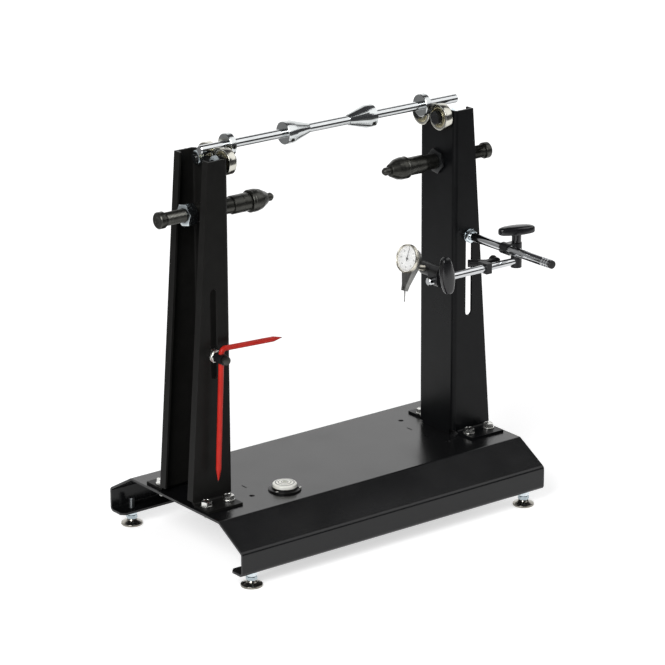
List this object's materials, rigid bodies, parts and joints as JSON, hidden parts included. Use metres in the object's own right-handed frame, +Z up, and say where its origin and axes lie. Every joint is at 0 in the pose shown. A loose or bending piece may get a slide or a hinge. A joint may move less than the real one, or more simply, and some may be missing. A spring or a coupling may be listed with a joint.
{
  "type": "wheel balancing stand",
  "caption": "Bench stand for balancing and truing a wheel: shaft with centring cones on paired ball bearings, live truing spindles, bubble level, red pointer and dial test indicator.",
  "frame": {"origin": "on the bench, in the middle of the four levelling feet", "axes": "+Z up, +X along the balancing shaft towards the post with the dial indicator, -Y the front with the pointer and the indicator rod"},
  "size_m": [0.5375, 0.3541, 0.552],
  "materials": {
    "black_powder_coat": "semi-gloss powder coat, fine orange peel",
    "zinc_plated_steel": "bright zinc plating",
    "bearing_steel": "ground steel rings with pale shields",
    "polished_steel": "ground and polished",
    "black_oxide_steel": "oiled black oxide",
    "black_plastic": "moulded, satin",
    "clear_vial": "polished clear plastic",
    "red_paint": "satin paint, bare ground tips",
    "satin_chrome": "satin",
    "white_dial": "matt white",
    "black_paint": "matt black"
  },
  "bodies": {
    "stand": {"base_plate": "black_powder_coat", "left_post": "black_powder_coat", "right_post": "black_powder_coat", "post_bolts": "zinc_plated_steel", "post_washers": "zinc_plated_steel", "m8_hex_nuts": "zinc_plated_steel", "bearing_bolts": "black_oxide_steel", "bearing_spacers": "zinc_plated_steel", "bearing_nuts": "zinc_plated_steel", "bearing_inner_rings": "bearing_steel", "bearing_balls": "polished_steel", "level_housing": "black_plastic", "level_vial": "clear_vial", "level_screws": "zinc_plated_steel", "truing_bushes": "black_oxide_steel", "truing_lock_nuts": "zinc_plated_steel"},
    "shaft": {"balancing_shaft": "polished_steel"},
    "bearing_lf": {"bearing_outer_lf": "bearing_steel"},
    "bearing_lb": {"bearing_outer_lb": "bearing_steel"},
    "bearing_rf": {"bearing_outer_rf": "bearing_steel"},
    "bearing_rb": {"bearing_outer_rb": "bearing_steel"},
    "left_collar": {"left_stop_collar": "polished_steel"},
    "right_collar": {"right_stop_collar": "polished_steel"},
    "left_collar_set_screw": {"left_collar_screw": "black_oxide_steel"},
    "right_collar_set_screw": {"right_collar_screw": "black_oxide_steel"},
    "left_cone": {"left_centring_cone": "polished_steel"},
    "right_cone": {"right_centring_cone": "polished_steel"},
    "left_cone_set_screw": {"left_cone_screw": "black_oxide_steel"},
    "right_cone_set_screw": {"right_cone_screw": "black_oxide_steel"},
    "left_spindle": {"left_truing_spindle": "black_oxide_steel"},
    "right_spindle": {"right_truing_spindle": "black_oxide_steel"},
    "left_live_cone": {"left_truing_cone": "black_oxide_steel"},
    "right_live_cone": {"right_truing_cone": "black_oxide_steel"},
    "foot_fl": {"foot_front_left": "zinc_plated_steel"},
    "foot_fr": {"foot_front_right": "zinc_plated_steel"},
    "foot_bl": {"foot_back_left": "zinc_plated_steel"},
    "foot_br": {"foot_back_right": "zinc_plated_steel"},
    "pointer_carriage": {"pointer_stud": "zinc_plated_steel", "pointer_stud_nut": "zinc_plated_steel"},
    "pointer_block": {"pointer_clamp_block": "black_oxide_steel"},
    "pointer_screw": {"pointer_thumb_screw": "black_oxide_steel"},
    "pointer": {"pointer_rod": "red_paint"},
    "indicator_carriage": {"indicator_rod_nuts": "zinc_plated_steel"},
    "front_rod": {"indicator_rod": "polished_steel", "indicator_rod_cap": "black_plastic"},
    "rod_clamp": {"rod_clamp_block": "black_oxide_steel"},
    "swivel_knob": {"clamp_knob": "black_plastic"},
    "arm_clamp": {"arm_clamp_block": "black_oxide_steel"},
    "arm": {"arm_rod": "polished_steel"},
    "stem_holder": {"stem_holder_block": "black_oxide_steel"},
    "holder_screw": {"stem_holder_screw": "black_oxide_steel"},
    "end_clamp": {"end_clamp_block": "black_oxide_steel"},
    "end_knob": {"end_clamp_knob": "black_plastic"},
    "jaw": {"stem_jaw": "black_oxide_steel"},
    "indicator": {"indicator_stem": "polished_steel", "indicator_body": "satin_chrome"},
    "bezel": {"indicator_bezel": "satin_chrome", "indicator_face": "white_dial"},
    "needle": {"indicator_needle": "black_paint"},
    "stylus": {"indicator_stylus": "polished_steel"}
  },
  "joints": [
    {"name": "shaft_spin", "type": "hinge", "parent": "stand", "child": "shaft", "pos_m": [0, 0, 0.537], "axis": [1, 0, 0], "continuous": true},
    {"name": "bearing_lf_spin", "type": "hinge", "parent": "stand", "child": "bearing_lf", "pos_m": [-0.1745, -0.01825, 0.52204], "axis": [1, 0, 0], "continuous": true},
    {"name": "bearing_lb_spin", "type": "hinge", "parent": "stand", "child": "bearing_lb", "pos_m": [-0.1745, 0.01825, 0.52204], "axis": [1, 0, 0], "continuous": true},
    {"name": "bearing_rf_spin", "type": "hinge", "parent": "stand", "child": "bearing_rf", "pos_m": [0.1745, -0.01825, 0.52204], "axis": [1, 0, 0], "continuous": true},
    {"name": "bearing_rb_spin", "type": "hinge", "parent": "stand", "child": "bearing_rb", "pos_m": [0.1745, 0.01825, 0.52204], "axis": [1, 0, 0], "continuous": true},
    {"name": "left_collar_slide", "type": "slide", "parent": "shaft", "child": "left_collar", "axis": [1, 0, 0], "range_m": [0, 0.035]},
    {"name": "left_collar_screw_turn", "type": "hinge", "parent": "left_collar", "child": "left_collar_set_screw", "pos_m": [-0.1575, 0, 0.537], "axis": [0, -1, 0], "range_deg": [0, 720]},
    {"name": "left_cone_slide", "type": "slide", "parent": "shaft", "child": "left_cone", "axis": [1, 0, 0], "range_m": [-0.04, 0.03]},
    {"name": "right_collar_slide", "type": "slide", "parent": "shaft", "child": "right_collar", "axis": [-1, 0, 0], "range_m": [0, 0.035]},
    {"name": "right_collar_screw_turn", "type": "hinge", "parent": "right_collar", "child": "right_collar_set_screw", "pos_m": [0.1575, 0, 0.537], "axis": [0, -1, 0], "range_deg": [0, 720]},
    {"name": "right_cone_slide", "type": "slide", "parent": "shaft", "child": "right_cone", "axis": [-1, 0, 0], "range_m": [-0.04, 0.03]},
    {"name": "left_cone_screw_turn", "type": "hinge", "parent": "left_cone", "child": "left_cone_set_screw", "pos_m": [-0.0645, 0, 0.537], "axis": [0, -0.866, -0.5], "range_deg": [0, 720]},
    {"name": "right_cone_screw_turn", "type": "hinge", "parent": "right_cone", "child": "right_cone_set_screw", "pos_m": [0.067, 0, 0.537], "axis": [0, -0.866, -0.5], "range_deg": [0, 720]},
    {"name": "left_spindle_feed", "type": "slide", "parent": "stand", "child": "left_spindle", "axis": [1, 0, 0], "range_m": [-0.0035, 0.0285]},
    {"name": "right_spindle_feed", "type": "slide", "parent": "stand", "child": "right_spindle", "axis": [-1, 0, 0], "range_m": [0, 0.032]},
    {"name": "left_live_cone_spin", "type": "hinge", "parent": "left_spindle", "child": "left_live_cone", "pos_m": [-0.11, 0, 0.457], "axis": [1, 0, 0], "continuous": true},
    {"name": "right_live_cone_spin", "type": "hinge", "parent": "right_spindle", "child": "right_live_cone", "pos_m": [0.11, 0, 0.457], "axis": [1, 0, 0], "continuous": true},
    {"name": "foot_fl_height", "type": "slide", "parent": "stand", "child": "foot_fl", "axis": [0, 0, 1], "range_m": [-0.008, 0]},
    {"name": "foot_fr_height", "type": "slide", "parent": "stand", "child": "foot_fr", "axis": [0, 0, 1], "range_m": [-0.008, 0]},
    {"name": "foot_bl_height", "type": "slide", "parent": "stand", "child": "foot_bl", "axis": [0, 0, 1], "range_m": [-0.008, 0]},
    {"name": "foot_br_height", "type": "slide", "parent": "stand", "child": "foot_br", "axis": [0, 0, 1], "range_m": [-0.008, 0]},
    {"name": "pointer_height", "type": "slide", "parent": "stand", "child": "pointer_carriage", "axis": [0, 0, 1], "range_m": [-0.0255, 0.0825]},
    {"name": "pointer_swing", "type": "hinge", "parent": "pointer_carriage", "child": "pointer_block", "pos_m": [-0.2085, -0.051, 0.277], "axis": [0, 1, 0], "range_deg": [-90, 90]},
    {"name": "pointer_turn", "type": "hinge", "parent": "pointer_block", "child": "pointer", "pos_m": [-0.2085, -0.051, 0.277], "axis": [0.0471, 0, 0.9989], "range_deg": [-90, 5]},
    {"name": "pointer_screw_turn", "type": "hinge", "parent": "pointer_block", "child": "pointer_screw", "pos_m": [-0.2085, -0.06, 0.277], "axis": [0, -1, 0], "range_deg": [-360, 360]},
    {"name": "indicator_height", "type": "slide", "parent": "stand", "child": "indicator_carriage", "axis": [0, 0, 1], "range_m": [-0.105, 0.002]},
    {"name": "front_rod_turn", "type": "hinge", "parent": "indicator_carriage", "child": "front_rod", "pos_m": [0.2088, -0.04, 0.3576], "axis": [0, 1, 0], "range_deg": [-90, 90]},
    {"name": "rod_clamp_slide", "type": "slide", "parent": "front_rod", "child": "rod_clamp", "axis": [0, 1, 0], "range_m": [-0.05, 0.03]},
    {"name": "swivel_knob_turn", "type": "hinge", "parent": "rod_clamp", "child": "swivel_knob", "pos_m": [0.2215, -0.118, 0.37], "axis": [0, 0, 1], "range_deg": [-180, 180]},
    {"name": "arm_swing", "type": "hinge", "parent": "rod_clamp", "child": "arm_clamp", "pos_m": [0.2215, -0.118, 0.34], "axis": [0, 0, 1], "range_deg": [-25, 150]},
    {"name": "arm_slide", "type": "slide", "parent": "arm_clamp", "child": "arm", "axis": [1, 0, 0], "range_m": [-0.003, 0.008]},
    {"name": "stem_holder_slide", "type": "slide", "parent": "arm", "child": "stem_holder", "axis": [1, 0, 0], "range_m": [-0.05, 0.002]},
    {"name": "holder_screw_turn", "type": "hinge", "parent": "stem_holder", "child": "holder_screw", "pos_m": [0.1935, -0.105, 0.3425], "axis": [0, 1, 0], "range_deg": [-360, 360]},
    {"name": "end_clamp_turn", "type": "hinge", "parent": "arm", "child": "end_clamp", "pos_m": [0.088, -0.118, 0.34], "axis": [1, 0, 0], "range_deg": [-90, 90]},
    {"name": "end_knob_turn", "type": "hinge", "parent": "end_clamp", "child": "end_knob", "pos_m": [0.088, -0.13, 0.35], "axis": [0, 1, 0], "range_deg": [-180, 180]},
    {"name": "jaw_turn", "type": "hinge", "parent": "end_clamp", "child": "jaw", "pos_m": [0.088, -0.099, 0.35], "axis": [0, 1, 0], "range_deg": [-90, 90]},
    {"name": "indicator_turn", "type": "hinge", "parent": "jaw", "child": "indicator", "pos_m": [0.088, -0.099, 0.35], "axis": [-0.954, -0.0667, 0.2924], "range_deg": [-90, 90]},
    {"name": "bezel_turn", "type": "hinge", "parent": "indicator", "child": "bezel", "pos_m": [0.09369, -0.0986, 0.3584], "axis": [-0.954, -0.0667, 0.2924], "continuous": true},
    {"name": "stylus_tilt", "type": "hinge", "parent": "indicator", "child": "stylus", "pos_m": [0.04702, -0.10187, 0.33192], "axis": [-0.0698, 0.9976, 0], "range_deg": [-3.5, 3.5], "stiffness_Nm_per_rad": 0.08},
    {"name": "needle_turn", "type": "hinge", "parent": "indicator", "child": "needle", "pos_m": [0.09369, -0.0986, 0.3584], "axis": [-0.954, -0.0667, 0.2924], "range_deg": [-170, 170]}
  ],
  "couplings": [
    {"joint": "bearing_lf_spin", "follows": "shaft_spin", "ratio": -0.34286},
    {"joint": "bearing_lb_spin", "follows": "shaft_spin", "ratio": -0.34286},
    {"joint": "bearing_rf_spin", "follows": "shaft_spin", "ratio": -0.34286},
    {"joint": "bearing_rb_spin", "follows": "shaft_spin", "ratio": -0.34286},
    {"joint": "needle_turn", "follows": "stylus_tilt", "ratio": 48}
  ]
}
